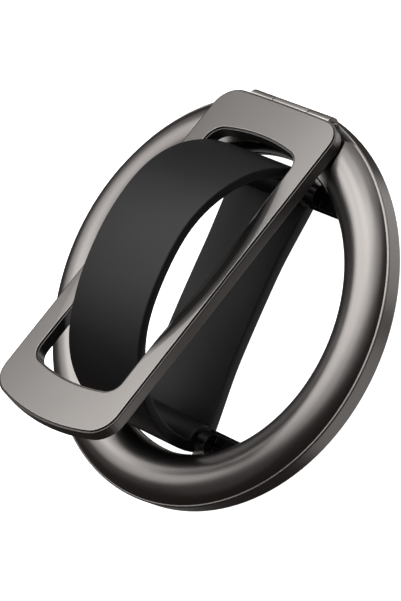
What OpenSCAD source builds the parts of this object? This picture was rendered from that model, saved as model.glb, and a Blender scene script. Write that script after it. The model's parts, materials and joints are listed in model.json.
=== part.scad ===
// Magnetic ring holder for a phone: a rounded metal ring with magnets inside it, a folding stand
// hinged on its rim, and a soft finger strap held on two sprung bars across its opening.
// Millimetres. Z is up from the face that clings to the phone, and the hinge is on the +Y side.

/* [Ring] */
// Outside diameter of the ring
ring_d = 58; // [57.4:0.1:60]
// Radius of the rounded ring body's section
tube_r = 3.85; // [3.75:0.05:3.9]
// Height of the flat outer wall, from the base plate up to the rim
wall_h = 2.6; // [2.5:0.05:2.7]
// Width of the flat ledge between the outer wall and the rounded body, at the rim
ledge_w = 0.3; // [0.2:0.05:0.4]

/* [Base] */
// Thickness of the soft grip pad
pad_t = 0.5; // [0.4:0.05:0.7]
// Thickness of the steel base plate
plate_t = 0.7; // [0.5:0.05:0.8]
// Number of magnets round the ring
magnet_count = 16; // [12:1:18]
// Radial width of each magnet
magnet_w = 4.7; // [4.2:0.1:4.8]
// Thickness of each magnet
magnet_t = 1.35; // [1.1:0.05:1.4]
// Thickness of the steel ring behind the magnets
yoke_t = 0.45; // [0.3:0.05:0.5]

/* [Stand] */
// Angle that the stand is open at, above the ring's face
open_angle = 20.6; // [5:0.1:60]
// Width of the stand
stand_w = 22.95; // [22.6:0.05:23.2]
// How much shorter the stand is than the ring's diameter, measured from the hinge's axis
stand_short = 3.05; // [2.7:0.05:3.5]
// Thickness of the stand
stand_t = 1.85; // [1.7:0.05:1.9]
// Width of the window in the stand
window_w = 16.25; // [16.1:0.05:16.5]
// Distance from the hinge's axis to the near end of the window
hinge_bar = 6; // [5.8:0.05:6.1]
// Width of the bar at the free end of the stand
end_bar = 6.5; // [6.3:0.05:6.6]
// Height of the raised face above the stand's bright border
face_step = 0.2; // [0.1:0.05:0.3]
// Width of the stand's bright border
face_border = 0.3; // [0.2:0.05:0.4]

/* [Hinge] */
// Radius of the hinge barrel
knuckle_r = 1.2; // [1.15:0.01:1.22]
// Radius of the hinge pin
pin_r = 0.55; // [0.45:0.01:0.6]
// Length of the whole barrel
barrel_l = 15.2; // [14.6:0.1:15.4]
// Length of the stand's own knuckle, in the middle of the barrel
mid_knuckle_l = 6.9; // [6.4:0.1:7.2]
// Thickness of each friction washer
washer_t = 0.12; // [0.08:0.01:0.14]

/* [Strap] */
// Width of the strap over the finger
strap_w = 13.55; // [13:0.05:13.8]
// Width of the strap at its two bars
strap_end_w = 14.75; // [14.4:0.05:14.9]
// Thickness of the strap
strap_t = 1.45; // [1.3:0.05:1.6]
// Height of the strap's arch above its two bars
strap_h = 19.9; // [17:0.05:20.5]
// Distance of each bar from the edge of the ring's opening
bar_inset = 3.25; // [3.15:0.05:3.4]
// Radius of the sprung bars
bar_r = 0.85; // [0.75:0.05:0.9]

/* [Hidden] */
$fn = 96;
// A bore is larger than what turns in it by this much in radius, and than a fixed pin by the second
running = 0.04;
snug = 0.01;
// Cuts run past the surfaces they open by this much
over = 1;

// Heights, from the phone up
plate_z = pad_t;
wall_z = pad_t + plate_t;
rim_z = wall_z + wall_h;
seat_z = rim_z - 0.05;

// The ring's section: a round tube on a flat-sided base
ring_r = ring_d / 2;
tube_lift = 0.85;
tube_z = wall_z + tube_lift;
tube_mid_r = ring_r - ledge_w - sqrt(tube_r * tube_r - (rim_z - tube_z) * (rim_z - tube_z));
hole_r = tube_mid_r - tube_r;
rim_bevel = 0.15;
foot_bevel = 0.15;
foot_step = 0.05;

// The magnet groove, open downwards and closed by the base plate
groove_gap = 0.05;
groove_mid_r = tube_mid_r - groove_gap;
groove_h = magnet_t + yoke_t;
magnet_gap = 0.9;

// The plate and the pad stop short of the ring's outer wall, and the plate ends just inside the
// ring's opening
plate_inset = 0.8;
pad_inset = 1.2;
pad_step = 0.25;
lip_w = 0.05;

// The hinge stands on a flat seat cut across the ring, and the outer wall is cut flat behind it
wall_cut = 0.6;
hinge_inset = 1.7;
hinge_lift = 0.55;
seat_reach = 1.25;
hinge_y = ring_r - hinge_inset;
hinge_z = seat_z + hinge_lift;
seat_y = hinge_y - seat_reach;
pocket_gap = 0.14;
washer_gap = 0.03;
washer_room = washer_t + 2 * washer_gap;
side_knuckle_l = (barrel_l - mid_knuckle_l) / 2;
side_knuckle_x = (barrel_l + mid_knuckle_l) / 4;
pin_end = 0.4;
pin_l = barrel_l + 2 * pin_end;

// The stand lies just above the hinge's axis when it is shut
stand_lift = 0.1;
notch_drop = 0.05;
notch_z = hinge_z - notch_drop;
notch_gap = 0.35;
notch_l = 10;
stand_edge = 0.2;
stand_l = ring_d - stand_short;
window_near = hinge_bar;
window_far = stand_l - end_bar;

// Corner radii and the long radii of the bowed ends, of the stand and of its window
stand_near_corner = 3.4;
stand_far_corner = 4;
stand_near_bow = 300;
stand_far_bow = 32;
window_near_corner = 2.4;
window_far_corner = 2.2;
window_bow = 28;

// A fine groove runs between the raised face and its border
trim_groove_w = 0.14;
trim_groove_d = 0.15;

// Each side arm rolls off from the raised face towards the window: a round shoulder that runs on
// as a slope. The roll is bowed in plan, so it fades out towards both ends of the arm. The shoulder
// starts a hair above the face.
roll_mid = 26.6;
roll_half = 17;
roll_r = 5.2;
roll_tilt = 10.5;
roll_margin = 0.02;
roll_skim = 0.003;
roll_reach = stand_w / 2 - roll_margin;
roll_sag = roll_reach - window_w / 2;
roll_w = roll_sag + over;
roll_plan_r = (roll_half * roll_half + roll_sag * roll_sag) / (2 * roll_sag);

// The strap hangs on two bars between pairs of lugs
bar_lift = 1.35;
bar_z = wall_z + bar_lift;
bar_y = hole_r - bar_inset;
sleeve_r = 2.2;
band_t = 1.85;
band_rise = 0.65;
strap_reach = bar_y + sleeve_r;
strap_gap = 0.3;
flare_l = 11.5;
flare_end = bar_y - 0.8;
tip_r = 0.5;
tip_play = 0.05;
lug_gap = 0.35;
lug_x = strap_end_w / 2 + lug_gap;
lug_t = 1.75;
lug_r = 1.65;
lug_heel = 0.8;
lug_heel_h = 1.1;
web_reach = 2;
web_y = bar_y - web_reach;
web_h = 1.1;
web_bevel = 0.35;
web_sink = 0.4;

// Points along an arc
function arc(x, y, r, from, to, steps) =
    [for (i = [0:steps]) let (a = from + (to - from) * i / steps) [x + r * cos(a), y + r * sin(a)]];

// A long frame outline that runs from y = -near to y = -far, with bowed ends and rounded corners.
// The inset moves the whole outline inwards.
function frame_outline(half_w, near, far, near_corner, far_corner, near_bow, far_bow, inset) =
    let (
        near_x = half_w - near_corner,
        far_x = half_w - far_corner,
        near_a = asin(near_x / (near_bow - near_corner)),
        far_a = asin(far_x / (far_bow - far_corner)),
        near_y = -near - near_bow + (near_bow - near_corner) * cos(near_a),
        far_y = -far + far_bow - (far_bow - far_corner) * cos(far_a)
    )
    concat(
        arc(near_x, near_y, near_corner - inset, 0, 90 - near_a, 9),
        arc(0, -near - near_bow, near_bow - inset, 90 - near_a, 90 + near_a, 8),
        arc(-near_x, near_y, near_corner - inset, 90 + near_a, 180, 9),
        arc(-far_x, far_y, far_corner - inset, 180, 270 - far_a, 9),
        arc(0, -far + far_bow, far_bow - inset, 270 - far_a, 270 + far_a, 12),
        arc(far_x, far_y, far_corner - inset, 270 + far_a, 360, 9)
    );

function stand_outline(inset) =
    frame_outline(stand_w / 2, stand_edge, stand_l,
        stand_near_corner, stand_far_corner, stand_near_bow, stand_far_bow, inset);

function window_outline(inset) =
    frame_outline(window_w / 2, window_near, window_far,
        window_near_corner, window_far_corner, window_bow, window_bow, inset);

// Half of a loop's outline: a superellipse that stands on the height of the bars
function arch(half_w, height) =
    [for (i = [0:64]) let (a = 180 * i / 64, power = 2 / 2.25)
        [half_w * sign(cos(a)) * pow(abs(cos(a)), power), bar_z + height * pow(sin(a), power)]];

// Half the strap's width at a distance from the middle of the ring: it flares towards its bars
function strap_half_w(y) =
    let (t = min(1, max(0, (abs(y) - flare_end) / flare_l + 1)))
    (strap_w + (strap_end_w - strap_w) * t * t * (3 - 2 * t)) / 2;

// A cylinder along X, centred on the hinge or on a bar
module cross_rod(r, length) {
    rotate([0, 90, 0]) cylinder(r = r, h = length, center = true);
}

module at_hinge() {
    translate([0, hinge_y, hinge_z]) children();
}

module ring_section() {
    tube_top = tube_z + tube_r + over;
    difference() {
        union() {
            // The tube is cut off at the outer wall, and the wall's foot lies outside it
            intersection() {
                translate([tube_mid_r, tube_z]) circle(r = tube_r);
                polygon([
                    [hole_r - over, wall_z], [tube_mid_r, wall_z], [tube_mid_r, tube_z],
                    [ring_r, tube_z], [ring_r, tube_top], [hole_r - over, tube_top]
                ]);
            }
            polygon([
                [hole_r + foot_step, wall_z], [ring_r - foot_bevel, wall_z], [ring_r, wall_z + foot_bevel],
                [ring_r, rim_z - rim_bevel], [ring_r - rim_bevel, rim_z],
                [tube_mid_r, rim_z], [hole_r + foot_step, tube_z]
            ]);
        }
        translate([groove_mid_r - magnet_w / 2 - groove_gap, wall_z - over])
            square([magnet_w + 2 * groove_gap, groove_h + over]);
    }
}

// Plan of the shelves that fill the ring's opening beside each pair of lugs
module web_plan() {
    intersection() {
        circle(r = hole_r + web_sink);
        for (side = [-1, 1], end = [-1, 1])
            translate([side * (lug_x + ring_r), end * (web_y + ring_r)]) square(ring_d, center = true);
    }
}

module lugs() {
    lug_z = bar_z - wall_z;
    difference() {
        translate([0, 0, wall_z]) linear_extrude(web_h) web_plan();
        // A bevel along the straight edge of the shelves
        for (end = [-1, 1])
            translate([0, end * web_y, wall_z + web_h]) rotate([45, 0, 0])
                cube([ring_d, web_bevel * sqrt(2), web_bevel * sqrt(2)], center = true);
    }
    for (side = [-1, 1], end = [-1, 1])
        translate([side * (lug_x + lug_t / 2), end * bar_y, wall_z]) {
            intersection() {
                translate([0, 0, lug_z]) cross_rod(lug_r, lug_t);
                translate([-lug_t, -2 * lug_r, 0]) cube([2 * lug_t, 4 * lug_r, 4 * lug_r]);
            }
            translate([-lug_t / 2, -lug_r, 0]) cube([lug_t, 2 * lug_r, lug_z]);
            // The heel that joins the lug to the ring
            translate([-lug_t / 2, end > 0 ? 0 : -lug_r - lug_heel, 0])
                cube([lug_t, lug_r + lug_heel, lug_z + lug_heel_h]);
        }
}

module ring_housing() {
    color([0.36, 0.34, 0.33])
    difference() {
        union() {
            difference() {
                rotate_extrude() ring_section();
                // The flat seat of the hinge
                translate([-ring_r, seat_y, seat_z]) cube([ring_d, ring_r, 2 * tube_r]);
                // The flat behind the hinge
                translate([-ring_r, ring_r - wall_cut, 0]) cube(ring_d);
                // The notch that the shut stand lies in
                intersection() {
                    translate([0, hinge_y, notch_z])
                        linear_extrude(2 * tube_r) polygon(stand_outline(-notch_gap));
                    translate([-ring_r, hinge_y - notch_l, 0]) cube(ring_d);
                }
            }
            for (side = [-1, 1])
                translate([side * side_knuckle_x, 0, 0]) at_hinge()
                    cross_rod(knuckle_r, side_knuckle_l);
            lugs();
        }
        at_hinge() cross_rod(knuckle_r + pocket_gap, mid_knuckle_l);
        at_hinge() cross_rod(pin_r + snug, barrel_l + 2 * over);
        for (end = [-1, 1])
            translate([0, end * bar_y, bar_z]) cross_rod(tip_r + snug, 2 * (lug_x + lug_t + over));
    }
}

module flat_ring(inner, outer, z, height) {
    translate([0, 0, z]) rotate_extrude() translate([inner, 0]) square([outer - inner, height]);
}

module steel_yoke() {
    color([0.62, 0.62, 0.64])
    flat_ring(groove_mid_r - magnet_w / 2, groove_mid_r + magnet_w / 2, wall_z + magnet_t, yoke_t);
}

module base_plate() {
    color([0.40, 0.38, 0.37])
    flat_ring(hole_r - lip_w, ring_r - plate_inset, plate_z, plate_t);
}

module grip_pad() {
    color([0.10, 0.10, 0.11])
    flat_ring(hole_r + pad_step, ring_r - pad_inset, 0, pad_t);
}

module magnet(i) {
    pitch = 360 / magnet_count;
    color([0.72, 0.72, 0.74])
    rotate([0, 0, (i - 0.5) * pitch])
        translate([0, 0, wall_z]) rotate_extrude(angle = pitch - magnet_gap)
            translate([groove_mid_r - magnet_w / 2, 0]) square([magnet_w, magnet_t]);
}

// The stand's frame over part of its thickness, with its edges and its window's edges moved in
module stand_layer(from, height, inset) {
    translate([0, 0, stand_lift + from]) linear_extrude(height) difference() {
        polygon(stand_outline(inset));
        polygon(window_outline(-inset));
    }
}

// What is taken off the right arm where it rolls off
module arm_roll() {
    shoulder_w = roll_r * sin(roll_tilt);
    shoulder_z = roll_skim - roll_r * (1 - cos(roll_tilt));
    slope_z = shoulder_z - (roll_w - shoulder_w) * tan(roll_tilt);
    intersection() {
        translate([roll_reach - roll_plan_r, -roll_mid, stand_lift + stand_t])
            rotate_extrude() difference() {
                polygon([
                    [roll_plan_r, over], [roll_plan_r - roll_w, over], [roll_plan_r - roll_w, slope_z],
                    [roll_plan_r - shoulder_w, shoulder_z], [roll_plan_r, shoulder_z]
                ]);
                translate([roll_plan_r, roll_skim - roll_r]) circle(r = roll_r, $fn = 200);
            }
        translate([window_w / 2 - over, -roll_mid - roll_half, 0])
            cube([stand_w, 2 * roll_half, 3 * stand_t]);
    }
}

module stand() {
    plain_t = stand_t - face_step;
    floor_t = plain_t - trim_groove_d;
    color([0.56, 0.54, 0.53])
    at_hinge() rotate([-open_angle, 0, 0])
    difference() {
        union() {
            stand_layer(0, floor_t, 0);
            difference() {
                stand_layer(floor_t, trim_groove_d, 0);
                stand_layer(0, stand_t, face_border - trim_groove_w);
            }
            stand_layer(floor_t, stand_t - floor_t, face_border);
            cross_rod(knuckle_r, mid_knuckle_l - 2 * washer_room);
        }
        // Room for the ring's two knuckles under the stand's edge
        for (side = [-1, 1])
            translate([side * side_knuckle_x, 0, 0])
                cross_rod(knuckle_r + pocket_gap, side_knuckle_l + 2 * washer_room);
        cross_rod(pin_r + running, 2 * barrel_l);
        for (side = [0, 1]) mirror([side, 0, 0]) arm_roll();
    }
}

module hinge_pin() {
    color([0.72, 0.71, 0.70])
    at_hinge() cross_rod(pin_r, pin_l);
}

module friction_washer(side) {
    color([0.66, 0.66, 0.68])
    translate([side * (mid_knuckle_l / 2 - washer_gap - washer_t / 2), 0, 0]) at_hinge()
        difference() {
            cross_rod(knuckle_r - 0.1, washer_t);
            cross_rod(pin_r + running, 2 * washer_t);
        }
}

module strap_side() {
    band_z = bar_z - sleeve_r;
    band_top = band_z + band_t;
    difference() {
        union() {
            difference() {
                polygon(arch(strap_reach, strap_h));
                polygon(arch(strap_reach - strap_t, strap_h - strap_t));
            }
            for (end = [-1, 1]) translate([end * bar_y, bar_z]) circle(r = sleeve_r);
            // The band that joins the two sleeves under the finger, bowed a little upwards
            polygon(concat(
                [for (i = [-8:8]) [bar_y * i / 8, band_z + band_rise * (1 - i * i / 64)]],
                [for (i = [8:-1:-8]) [bar_y * i / 8, band_top + band_rise * (1 - i * i / 64)]]
            ));
        }
        for (end = [-1, 1]) translate([end * bar_y, bar_z]) circle(r = bar_r + running);
    }
}

module strap_plan() {
    ys = [for (i = [-14:14]) strap_reach * i / 14];
    intersection() {
        polygon(concat(
            [for (y = ys) [strap_half_w(y), y]],
            [for (i = [len(ys) - 1:-1:0]) [-strap_half_w(ys[i]), ys[i]]]
        ));
        circle(r = hole_r - lip_w - strap_gap);
    }
}

module finger_strap() {
    color([0.06, 0.06, 0.07])
    intersection() {
        rotate([90, 0, 90]) linear_extrude(2 * strap_end_w, center = true) strap_side();
        linear_extrude(ring_d) strap_plan();
    }
}

module strap_bar(end) {
    color([0.70, 0.70, 0.71])
    translate([0, end * bar_y, bar_z]) {
        cross_rod(bar_r, strap_end_w);
        cross_rod(tip_r, 2 * (lug_x + lug_t - tip_play));
    }
}

ring_housing();
steel_yoke();
base_plate();
grip_pad();
stand();
hinge_pin();
friction_washer(-1);  // friction_washer_left
friction_washer(1);  // friction_washer_right
finger_strap();
strap_bar(1);  // upper_strap_bar
strap_bar(-1);  // lower_strap_bar
for (i = [1:magnet_count])
    magnet(i);
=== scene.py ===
import json
import math

import bmesh
import bpy
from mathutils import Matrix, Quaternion, Vector


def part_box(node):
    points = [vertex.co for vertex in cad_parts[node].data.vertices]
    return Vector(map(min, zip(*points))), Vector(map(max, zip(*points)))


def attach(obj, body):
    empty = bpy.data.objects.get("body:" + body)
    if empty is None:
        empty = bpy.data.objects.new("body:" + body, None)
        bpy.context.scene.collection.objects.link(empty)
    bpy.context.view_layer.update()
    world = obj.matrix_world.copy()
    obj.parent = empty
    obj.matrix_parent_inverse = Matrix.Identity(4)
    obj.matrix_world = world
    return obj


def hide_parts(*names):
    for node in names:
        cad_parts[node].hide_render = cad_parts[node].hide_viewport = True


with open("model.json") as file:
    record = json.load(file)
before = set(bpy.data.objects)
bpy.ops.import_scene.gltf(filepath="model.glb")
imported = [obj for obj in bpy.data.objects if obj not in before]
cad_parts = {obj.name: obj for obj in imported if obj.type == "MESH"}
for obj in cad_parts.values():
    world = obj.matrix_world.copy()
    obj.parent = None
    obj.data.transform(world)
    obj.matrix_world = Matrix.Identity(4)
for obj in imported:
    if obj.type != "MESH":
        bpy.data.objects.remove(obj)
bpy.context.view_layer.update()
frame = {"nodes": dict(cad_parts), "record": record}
MM = 0.001


# Ring housing: one zinc casting with a rounded body, a flat outer wall and the two fixed hinge
# knuckles. It is blasted to an even satin and plated in a dark gunmetal, a little worn on its edges.
# The knuckles are burnished where they turn, and the lugs in the opening get painted shade: a near-black
# colour stands in for the shade that falls there.
def new_finish(name):
    """A material with one plain shader, which a finish is built on."""
    finish = bpy.data.materials.new(name)
    finish.use_nodes = True
    tree = finish.node_tree
    tree.nodes.clear()
    output = tree.nodes.new("ShaderNodeOutputMaterial")
    shader = tree.nodes.new("ShaderNodeBsdfPrincipled")
    tree.links.new(shader.outputs["BSDF"], output.inputs["Surface"])
    return finish, tree, shader


def feed(tree, socket, source):
    """Links a socket to another node's output, or sets it to a plain value."""
    if isinstance(source, bpy.types.NodeSocket):
        tree.links.new(source, socket)
    else:
        socket.default_value = source


def calculate(tree, kind, operation, *sources):
    """Adds a Math or Vector Math node and feeds its sockets in their order."""
    step = tree.nodes.new(kind)
    step.operation = operation
    for socket, source in zip(step.inputs, sources):
        feed(tree, socket, source)
    return step


def remap(tree, value, from_range=(0.0, 1.0), to_range=(0.0, 1.0)):
    """Carries a value from one range to another, and holds it at the ends."""
    step = tree.nodes.new("ShaderNodeMapRange")
    step.inputs["From Min"].default_value, step.inputs["From Max"].default_value = from_range
    step.inputs["To Min"].default_value, step.inputs["To Max"].default_value = to_range
    feed(tree, step.inputs["Value"], value)
    return step.outputs["Result"]


def blend(tree, factor, first, second):
    """Mixes two colours, of which the first may be another node's output."""
    mix = tree.nodes.new("ShaderNodeMix")
    mix.data_type = "RGBA"
    feed(tree, mix.inputs["Factor"], factor)
    feed(tree, mix.inputs["A"], (*first, 1.0) if isinstance(first, tuple) else first)
    feed(tree, mix.inputs["B"], (*second, 1.0))
    return mix.outputs["Result"]


def piece_noise(tree, scale, detail, roughness=0.5):
    """A noise on the piece's own coordinates, so that it stays put when the piece moves."""
    place = tree.nodes.new("ShaderNodeTexCoord")
    noise = tree.nodes.new("ShaderNodeTexNoise")
    noise.inputs["Scale"].default_value = scale
    noise.inputs["Detail"].default_value = detail
    noise.inputs["Roughness"].default_value = roughness
    tree.links.new(place.outputs["Object"], noise.inputs["Vector"])
    return noise.outputs["Fac"]


def satin_plating(name, dark, light, worn, roughness, grain, edge_radius=0.14 * MM):
    """A plated satin metal: fine blasted grain, faint cloudy shading, and edges that are slightly
    rounded and rubbed brighter."""
    cloud_scale, patch_scale, blast_scale = 90.0, 420.0, 9000.0
    wear_starts, wear_is_full = 0.99, 0.93
    patch_contrast, least_wear = 1.3, 0.1
    uneven_shine, rubbed_shine = 0.03, 0.1
    blast_depth = 0.01 * MM
    finish, tree, shader = new_finish(name)
    shader.inputs["Metallic"].default_value = 1.0
    clouds = piece_noise(tree, cloud_scale, detail=3.0, roughness=0.6)

    # The rounded normal turns away from the flat one near an edge, which is where the plating wears
    surface = tree.nodes.new("ShaderNodeNewGeometry")
    rounded = tree.nodes.new("ShaderNodeBevel")
    rounded.name = "rounded_edges"
    rounded.samples = 6
    rounded.inputs["Radius"].default_value = edge_radius
    turned = calculate(tree, "ShaderNodeVectorMath", "DOT_PRODUCT",
                       surface.outputs["Normal"], rounded.outputs["Normal"])
    edge = remap(tree, turned.outputs["Value"], from_range=(wear_starts, wear_is_full))
    patches = calculate(tree, "ShaderNodeMath", "MULTIPLY_ADD",
                        piece_noise(tree, patch_scale, detail=3.0), patch_contrast, least_wear)
    wear = calculate(tree, "ShaderNodeMath", "MULTIPLY", edge, patches.outputs["Value"])
    wear.use_clamp = True
    tint = blend(tree, clouds, dark, light)
    feed(tree, shader.inputs["Base Color"], blend(tree, wear.outputs["Value"], tint, worn))

    smear = remap(tree, clouds, to_range=(roughness - uneven_shine, roughness + uneven_shine))
    polish = calculate(tree, "ShaderNodeMath", "MULTIPLY_ADD", wear.outputs["Value"], -rubbed_shine, smear)
    feed(tree, shader.inputs["Roughness"], polish.outputs["Value"])

    blasted = tree.nodes.new("ShaderNodeBump")
    blasted.name = "blasted_grain"
    blasted.inputs["Strength"].default_value = grain
    blasted.inputs["Distance"].default_value = blast_depth
    feed(tree, blasted.inputs["Height"], piece_noise(tree, blast_scale, detail=2.0))
    feed(tree, blasted.inputs["Normal"], rounded.outputs["Normal"])
    feed(tree, shader.inputs["Normal"], blasted.outputs["Normal"])
    return finish


def wear_or_painted_shade_around(finish, centre, across, radius, reach, colour):
    """Gives the metal within a radius of an axis another colour, as far as a reach along X. It serves both
    for burnished wear and for painted shade.
    """
    soft_border = 0.06 * MM
    tree = finish.node_tree
    base = tree.nodes["Principled BSDF"].inputs["Base Color"]
    place = tree.nodes.new("ShaderNodeTexCoord")
    offset = calculate(tree, "ShaderNodeVectorMath", "SUBTRACT", place.outputs["Object"], centre)
    spread = calculate(tree, "ShaderNodeVectorMath", "MULTIPLY", offset.outputs["Vector"], across)
    distance = calculate(tree, "ShaderNodeVectorMath", "LENGTH", spread.outputs["Vector"])
    near = remap(tree, distance.outputs["Value"],
                 from_range=(radius, radius + soft_border), to_range=(1.0, 0.0))
    sides = tree.nodes.new("ShaderNodeSeparateXYZ")
    feed(tree, sides.inputs["Vector"], offset.outputs["Vector"])
    along = calculate(tree, "ShaderNodeMath", "ABSOLUTE", sides.outputs["X"])
    within = calculate(tree, "ShaderNodeMath", "LESS_THAN", along.outputs["Value"], reach)
    where = calculate(tree, "ShaderNodeMath", "MULTIPLY", near, within.outputs["Value"])
    feed(tree, base, blend(tree, where.outputs["Value"], base.links[0].from_socket, colour))


def dress(node_name, finish):
    """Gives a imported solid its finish."""
    node = frame["nodes"][node_name]
    node.data.materials.clear()
    node.data.materials.append(finish)


hinge_axis = tuple(frame["record"]["behaviour"]["joints"][0]["pos_m"])
hinge_across = (0.0, 1.0, 1.0)
knuckle_r = 1.25 * MM
barrel_half = 7.55 * MM
burnished = (0.68, 0.655, 0.63)
opening_axis = (0.0, 0.0, 0.0)
opening_across = (1.0, 1.0, 0.0)
lug_root_r = 21.3 * MM
past_the_ring = 1.0
lug_painted_shade = (0.028, 0.027, 0.027)
ring_plating = satin_plating(
    "ring_plating",
    dark=(0.150, 0.140, 0.135),
    light=(0.175, 0.165, 0.158),
    worn=(0.24, 0.226, 0.213),
    roughness=0.30,
    grain=0.15,
)
wear_or_painted_shade_around(ring_plating, hinge_axis, hinge_across, knuckle_r, barrel_half, burnished)
# Painted shade: the lugs and the inner edge of the opening are coloured near-black where shade falls.
wear_or_painted_shade_around(ring_plating, opening_axis, opening_across, lug_root_r, past_the_ring, lug_painted_shade)
dress("ring_housing", ring_plating)

# Magnets and yoke: nickel-plated arc segments lie in the ring's groove, and a stamped steel ring
# behind them carries their field round. Both are glued in before the plate closes the groove.
magnet_nickel = satin_plating(
    "magnet_nickel",
    dark=(0.50, 0.49, 0.47),
    light=(0.58, 0.57, 0.55),
    worn=(0.66, 0.64, 0.60),
    roughness=0.28,
    grain=0.08,
)
for node_name in frame["nodes"]:
    if node_name.startswith("magnet_"):
        dress(node_name, magnet_nickel)
yoke_steel = satin_plating(
    "yoke_steel",
    dark=(0.42, 0.42, 0.43),
    light=(0.50, 0.50, 0.51),
    worn=(0.58, 0.58, 0.58),
    roughness=0.35,
    grain=0.1,
)
dress("steel_yoke", yoke_steel)

# Base plate: a stamped steel ring, plated like the housing. It is pressed in from below, where it
# closes the magnet groove.
plate_plating = satin_plating(
    "plate_plating",
    dark=(0.16, 0.15, 0.145),
    light=(0.19, 0.18, 0.172),
    worn=(0.34, 0.32, 0.30),
    roughness=0.34,
    grain=0.12,
)
dress("base_plate", plate_plating)

# Hinge: a polished steel pin runs through the three knuckles. A thin blackened spring washer
# at each side of the middle one holds the stand where it is left.
pin_polish = satin_plating(
    "pin_polish",
    dark=(0.22, 0.21, 0.20),
    light=(0.26, 0.25, 0.24),
    worn=(0.50, 0.48, 0.46),
    roughness=0.18,
    grain=0.03,
)
dress("hinge_pin", pin_polish)
washer_black = satin_plating(
    "washer_black",
    dark=(0.020, 0.020, 0.020),
    light=(0.028, 0.027, 0.027),
    worn=(0.06, 0.06, 0.06),
    roughness=0.35,
    grain=0.05,
)
for node_name in ("friction_washer_left", "friction_washer_right"):
    dress(node_name, washer_black)

# Strap bars: sprung steel bars, whose turned-down tips snap into bores in the lugs. They are
# blackened, so that they vanish beside the strap.
bar_black = satin_plating(
    "bar_black",
    dark=(0.045, 0.044, 0.044),
    light=(0.060, 0.058, 0.057),
    worn=(0.30, 0.29, 0.28),
    roughness=0.22,
    grain=0.05,
)
for node_name in ("upper_strap_bar", "lower_strap_bar"):
    dress(node_name, bar_black)

# Stand: a cast zinc frame with a raised, very slightly crowned face, which turns on the pin by the
# middle knuckle. It is plated like the ring but duller, and the low step round its face gets painted
# shade, a dark line where the groove's shade falls.
stand_plating = satin_plating(
    "stand_plating",
    dark=(0.161, 0.152, 0.145),
    light=(0.183, 0.174, 0.166),
    worn=(0.42, 0.40, 0.385),
    roughness=0.36,
    grain=0.15,
    edge_radius=0.13 * MM,
)
wear_or_painted_shade_around(stand_plating, hinge_axis, hinge_across, knuckle_r, barrel_half, burnished)

# The crown falls away with the square of the distance from the middle: this times X squared, in metres
crown_fall = 4.0
stand_tree = stand_plating.node_tree
stand_place = stand_tree.nodes.new("ShaderNodeTexCoord")
stand_sides = stand_tree.nodes.new("ShaderNodeSeparateXYZ")
feed(stand_tree, stand_sides.inputs["Vector"], stand_place.outputs["Object"])
off_middle = stand_sides.outputs["X"]
squared = calculate(stand_tree, "ShaderNodeMath", "MULTIPLY", off_middle, off_middle)
crown = stand_tree.nodes.new("ShaderNodeBump")
crown.invert = True
crown.inputs["Strength"].default_value = 1.0
crown.inputs["Distance"].default_value = crown_fall
feed(stand_tree, crown.inputs["Height"], squared.outputs["Value"])
feed(stand_tree, crown.inputs["Normal"], stand_tree.nodes["rounded_edges"].outputs["Normal"])
feed(stand_tree, stand_tree.nodes["blasted_grain"].inputs["Normal"], crown.outputs["Normal"])

# The step is found by its height along the direction that the open stand's face looks in
open_angle = math.radians(20.6)
face_normal = (0.0, math.sin(open_angle), math.cos(open_angle))
step_height = 15.33 * MM
step_reach = 0.11 * MM
painted_step_strength = 0.72
painted_step_colour = (0.035, 0.032, 0.031)
height = calculate(stand_tree, "ShaderNodeVectorMath", "DOT_PRODUCT",
                   stand_place.outputs["Object"], face_normal)
on_step = calculate(stand_tree, "ShaderNodeMath", "COMPARE",
                    height.outputs["Value"], step_height, step_reach)
# Painted shade: the step round the raised face is mixed towards near-black, standing in for the shade in
# its groove.
shaded = calculate(stand_tree, "ShaderNodeMath", "MULTIPLY", on_step.outputs["Value"], painted_step_strength)
stand_base = stand_tree.nodes["Principled BSDF"].inputs["Base Color"]
with_painted_step_shade = blend(stand_tree, shaded.outputs["Value"], stand_base.links[0].from_socket, painted_step_colour)
feed(stand_tree, stand_base, with_painted_step_shade)
dress("stand", stand_plating)


# Grip pad: a thin silicone ring, glued under the base plate, which keeps the holder from sliding
# on the phone. Its edges are softened by the mould.
def soft_black(name, dark, light, roughness, grain_scale, grain):
    """A black silicone: dull and slightly dusty, with a fine moulded grain."""
    cloud_scale = 140.0
    uneven_shine = 0.05
    mould_depth = 0.02 * MM
    finish, tree, shader = new_finish(name)
    shader.inputs["Specular IOR Level"].default_value = 0.25
    clouds = piece_noise(tree, cloud_scale, detail=4.0)
    feed(tree, shader.inputs["Base Color"], blend(tree, clouds, dark, light))
    smear = remap(tree, clouds, to_range=(roughness - uneven_shine, roughness + uneven_shine))
    feed(tree, shader.inputs["Roughness"], smear)
    moulded = tree.nodes.new("ShaderNodeBump")
    moulded.inputs["Strength"].default_value = grain
    moulded.inputs["Distance"].default_value = mould_depth
    feed(tree, moulded.inputs["Height"], piece_noise(tree, grain_scale, detail=3.0))
    feed(tree, shader.inputs["Normal"], moulded.outputs["Normal"])
    return finish


def finish_piece(name, shape, finish, sharp_angle):
    """Turns a finished bmesh into a smooth-shaded object at the origin."""
    bmesh.ops.recalc_face_normals(shape, faces=shape.faces)
    mesh = bpy.data.meshes.new(name)
    shape.to_mesh(mesh)
    shape.free()
    mesh.shade_smooth()
    mesh.set_sharp_from_angle(angle=math.radians(sharp_angle))
    mesh.materials.append(finish)
    piece = bpy.data.objects.new(name, mesh)
    bpy.context.scene.collection.objects.link(piece)
    return piece


pad_low, pad_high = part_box("grip_pad")
pad_outer = pad_high.x
pad_inner = 21.67 * MM
pad_edge = 0.12 * MM
pad_steps = 160
pad_sharp_angle = 40
merge_distance = 1e-7

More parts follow.
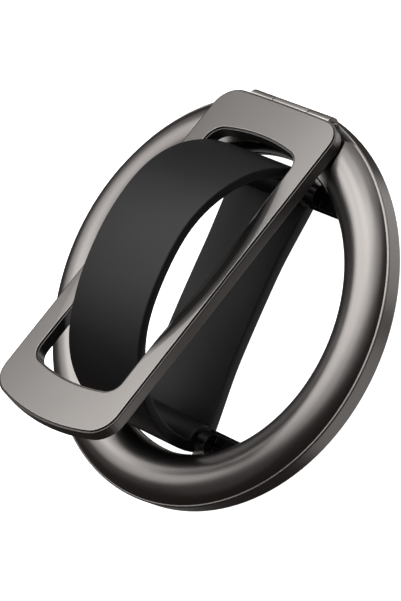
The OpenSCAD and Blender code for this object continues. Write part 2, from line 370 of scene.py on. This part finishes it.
pad_shape = bmesh.new()
pad_profile = bmesh.ops.create_grid(pad_shape, x_segments=1, y_segments=1, size=0.5)["verts"]
for vert in pad_profile:
    vert.co = Vector((
        pad_inner if vert.co.x < 0 else pad_outer,
        0.0,
        pad_low.z if vert.co.y < 0 else pad_high.z,
    ))
bmesh.ops.delete(pad_shape, geom=pad_shape.faces[:], context="FACES_ONLY")
bmesh.ops.bevel(pad_shape, geom=pad_shape.verts[:], affect="VERTICES",
                offset=pad_edge, segments=3, profile=0.5, material=-1)
bmesh.ops.spin(pad_shape, geom=pad_shape.verts[:] + pad_shape.edges[:], cent=(0, 0, 0), axis=(0, 0, 1),
               angle=2 * math.pi, steps=pad_steps, use_merge=True, use_duplicate=False)
bmesh.ops.remove_doubles(pad_shape, verts=pad_shape.verts[:], dist=merge_distance)
pad_silicone = soft_black(
    "pad_silicone",
    dark=(0.012, 0.012, 0.013),
    light=(0.018, 0.018, 0.019),
    roughness=0.62,
    grain_scale=5000.0,
    grain=0.5,
)
grip_pad = finish_piece("soft_grip_pad", pad_shape, pad_silicone, pad_sharp_angle)
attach(grip_pad, "ring")
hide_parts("grip_pad")

# Finger strap: one moulded silicone loop. Its arch goes over the finger, its flat band lies behind
# it, and each end is a sleeve round a sprung bar. Its edges are rounded by the mould.
bar_y = 18.171 * MM
bar_z = 2.55 * MM
sleeve_r = 2.2 * MM
reach = bar_y + sleeve_r
arch_h = 19.9 * MM
arch_roundness = 2.25
arch_power = 2 / arch_roundness
strap_t = 1.45 * MM
band_t = 1.85 * MM
band_rise = 0.65 * MM
middle_half_w = 6.775 * MM
end_half_w = 7.345 * MM
flare_l = 11.5 * MM
flare_end = bar_y - 0.8 * MM
strap_edge = 0.28 * MM
strap_sharp_angle = 35
opening_clear_r = 21.07 * MM
sleeve_inset = 0.02 * MM
inner_sleeve_end = math.pi + 0.16
arch_steps = 72
sleeve_steps = 12
band_steps = 24


def arch_point(half_w, height, turn):
    """A point of the superellipse that the arch follows; turn runs from 0 to pi."""
    side = math.copysign(abs(math.cos(turn)) ** arch_power, math.cos(turn))
    return half_w * side, bar_z + height * max(0.0, math.sin(turn)) ** arch_power


def strap_half_w(y):
    """Half the strap's width: it flares towards its bars, and its corners clear the round opening."""
    t = min(1.0, max(0.0, (abs(y) - flare_end) / flare_l + 1))
    flared = middle_half_w + (end_half_w - middle_half_w) * t * t * (3 - 2 * t)
    return min(flared, math.sqrt(opening_clear_r ** 2 - y ** 2))


def side_outline(inner):
    """The loop's outer or inner outline, in the plane across the hinge."""
    half_w = reach - strap_t if inner else reach
    height = arch_h - strap_t if inner else arch_h
    if inner:
        # The inner outline leaves the arch where the sleeve's round begins
        meet = math.acos((half_w - sleeve_inset - bar_y) / sleeve_r)
        low = math.asin(math.sin(meet) * sleeve_r / height)
        sleeve_from, sleeve_to = meet, inner_sleeve_end
    else:
        low = 0.0
        sleeve_from, sleeve_to = 0.0, -math.pi / 2
    points = [arch_point(half_w, height, low + (math.pi - 2 * low) * i / arch_steps)
              for i in range(arch_steps + 1)]
    for i in range(1, sleeve_steps + 1):
        turn = sleeve_from + (sleeve_to - sleeve_from) * i / sleeve_steps
        points.append((-bar_y - sleeve_r * math.cos(turn), bar_z + sleeve_r * math.sin(turn)))
    left = points[-1][0]
    top = band_t if inner else 0.0
    for i in range(1, band_steps):
        y = left - 2 * left * i / band_steps
        points.append((y, bar_z - sleeve_r + top + band_rise * (1 - (y / bar_y) ** 2)))
    for i in range(sleeve_steps, 0, -1):
        turn = sleeve_from + (sleeve_to - sleeve_from) * i / sleeve_steps
        points.append((bar_y + sleeve_r * math.cos(turn), bar_z + sleeve_r * math.sin(turn)))
    return points


strap_shape = bmesh.new()
for inner in (False, True):
    points = side_outline(inner)
    loop = bmesh.ops.create_circle(strap_shape, segments=len(points), radius=1.0)["verts"]
    for vert, (y, z) in zip(loop, points):
        vert.co = Vector((0.0, y, z))
bmesh.ops.bridge_loops(strap_shape, edges=strap_shape.edges[:])
grown = bmesh.ops.extrude_face_region(strap_shape, geom=strap_shape.faces[:])["geom"]
far_side = {item for item in grown if isinstance(item, bmesh.types.BMVert)}
for vert in strap_shape.verts:
    vert.co.x = strap_half_w(vert.co.y) * (1 if vert in far_side else -1)
bmesh.ops.recalc_face_normals(strap_shape, faces=strap_shape.faces)

# The rims run along the strap's two sides, so the edges that cross the strap are left out
across_limit = 2 * MM
rims = [edge for edge in strap_shape.edges
        if abs(edge.verts[0].co.x - edge.verts[1].co.x) < across_limit
        and edge.calc_face_angle(0) > math.radians(strap_sharp_angle)]
bmesh.ops.bevel(strap_shape, geom=rims, affect="EDGES",
                offset=strap_edge, segments=3, profile=0.5, material=-1)
strap_silicone = soft_black(
    "strap_silicone",
    dark=(0.0036, 0.0036, 0.0038),
    light=(0.0058, 0.0058, 0.0061),
    roughness=0.52,
    grain_scale=3500.0,
    grain=0.35,
)
finger_strap = finish_piece("silicone_finger_strap", strap_shape, strap_silicone, strap_sharp_angle)
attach(finger_strap, "ring")
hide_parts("finger_strap")

# Table: a pale sweep that glows faintly, so that hardly any shadow falls on it. It lies a hair below
# the grip pad. Seen from below it is clear, as a glass top is, so the underside shows.
table_half = 2.0
table_drop = 0.03 * MM
table_grey = (0.5, 0.5, 0.5, 1.0)
table_glow = 1.2
table_shape = bmesh.new()
bmesh.ops.create_grid(table_shape, x_segments=8, y_segments=8, size=table_half)
bmesh.ops.translate(table_shape, verts=table_shape.verts[:], vec=(0.0, 0.0, -table_drop))
table_mesh = bpy.data.meshes.new("table")
table_shape.to_mesh(table_mesh)
table_shape.free()
table = bpy.data.objects.new("table", table_mesh)
bpy.context.scene.collection.objects.link(table)

pale = bpy.data.materials.new("pale_table")
pale.use_nodes = True
pale_tree = pale.node_tree
pale_shader = pale_tree.nodes["Principled BSDF"]
pale_shader.inputs["Base Color"].default_value = table_grey
pale_shader.inputs["Roughness"].default_value = 0.8
pale_shader.inputs["Specular IOR Level"].default_value = 0.1
pale_shader.inputs["Emission Color"].default_value = (1.0, 1.0, 1.0, 1.0)
pale_shader.inputs["Emission Strength"].default_value = table_glow
under_side = pale_tree.nodes.new("ShaderNodeNewGeometry")
clear = pale_tree.nodes.new("ShaderNodeBsdfTransparent")
either = pale_tree.nodes.new("ShaderNodeMixShader")
pale_tree.links.new(under_side.outputs["Backfacing"], either.inputs["Fac"])
pale_tree.links.new(pale_shader.outputs["BSDF"], either.inputs[1])
pale_tree.links.new(clear.outputs["BSDF"], either.inputs[2])
pale_tree.links.new(either.outputs["Shader"], pale_tree.nodes["Material Output"].inputs["Surface"])
table_mesh.materials.append(pale)

# The metal doesn't mirror the table, and the low panels shine through it onto the outer wall
table.visible_glossy = False
table.visible_shadow = False

# Lights: a tent of round soft panels, all at one distance from the ring. Each is placed by its turn
# from the X axis and its rise above the table, in degrees, and shines with its own power in watts.
# The brightest hang over the hinge's side.
panel_distance = 0.8
panel_size = 0.7
panels = (
    (0, 85, 1.3), (70, 66, 1.1), (130, 66, 1.9), (190, 66, 1.1), (10, 66, 0.55),
    (60, 46, 1.2), (100, 46, 2.2), (140, 46, 1.2), (20, 46, 0.18), (260, 46, 0.15),
    (180, 48, 1.55), (80, 26, 0.7), (160, 26, 0.55), (200, 26, 0.15), (100, 6, 0.78),
    (70, -56, 1.45), (340, -56, 0.95), (190, -56, 0.2),
)
for turn_degrees, rise_degrees, power in panels:
    turn, rise = math.radians(turn_degrees), math.radians(rise_degrees)
    direction = Vector((math.cos(turn) * math.cos(rise), math.sin(turn) * math.cos(rise), math.sin(rise)))
    panel_light = bpy.data.lights.new("soft_panel", "AREA")
    panel_light.shape = "DISK"
    panel_light.size = panel_size
    panel_light.energy = power
    panel = bpy.data.objects.new("soft_panel", panel_light)
    panel.location = direction * panel_distance
    panel.rotation_mode = "QUATERNION"
    panel.rotation_quaternion = (-panel.location).to_track_quat("-Z", "Y")
    bpy.context.scene.collection.objects.link(panel)

# Backdrop: the room is dark and a little warm to the metal and the strap, but the backdrop that the
# camera sees behind them is plain white.
room_tone = (0.055, 0.046, 0.043, 1.0)
backdrop_white = (1.0, 1.0, 1.0, 1.0)
studio = bpy.data.worlds.new("studio_room")
bpy.context.scene.world = studio
studio.use_nodes = True
studio_tree = studio.node_tree
room = studio_tree.nodes["Background"]
room.inputs["Color"].default_value = room_tone
backdrop = studio_tree.nodes.new("ShaderNodeBackground")
backdrop.inputs["Color"].default_value = backdrop_white
sight = studio_tree.nodes.new("ShaderNodeLightPath")
seen = studio_tree.nodes.new("ShaderNodeMixShader")
studio_tree.links.new(sight.outputs["Is Camera Ray"], seen.inputs["Fac"])
studio_tree.links.new(room.outputs["Background"], seen.inputs[1])
studio_tree.links.new(backdrop.outputs["Background"], seen.inputs[2])
studio_tree.links.new(seen.outputs["Shader"], studio_tree.nodes["World Output"].inputs["Surface"])
bpy.context.scene.view_settings.view_transform = "Standard"

# Camera: a long lens high above the holder's right side, where right is the way that +X points. It
# is rolled, so that the hinge comes uppermost in the picture.
camera_lens = bpy.data.cameras.new("photo_camera")
camera_lens.sensor_width = 36.0
camera_lens.lens = 179.7
camera_lens.clip_start = 0.01
camera_lens.clip_end = 50.0
camera = bpy.data.objects.new("photo_camera", camera_lens)
camera.location = (0.274631, -0.000317, 0.302189)
camera.rotation_mode = "QUATERNION"
camera.rotation_quaternion = Quaternion((0.910987, 0.074287, 0.357502, 0.19177)).normalized()
bpy.context.scene.collection.objects.link(camera)
bpy.context.scene.camera = camera
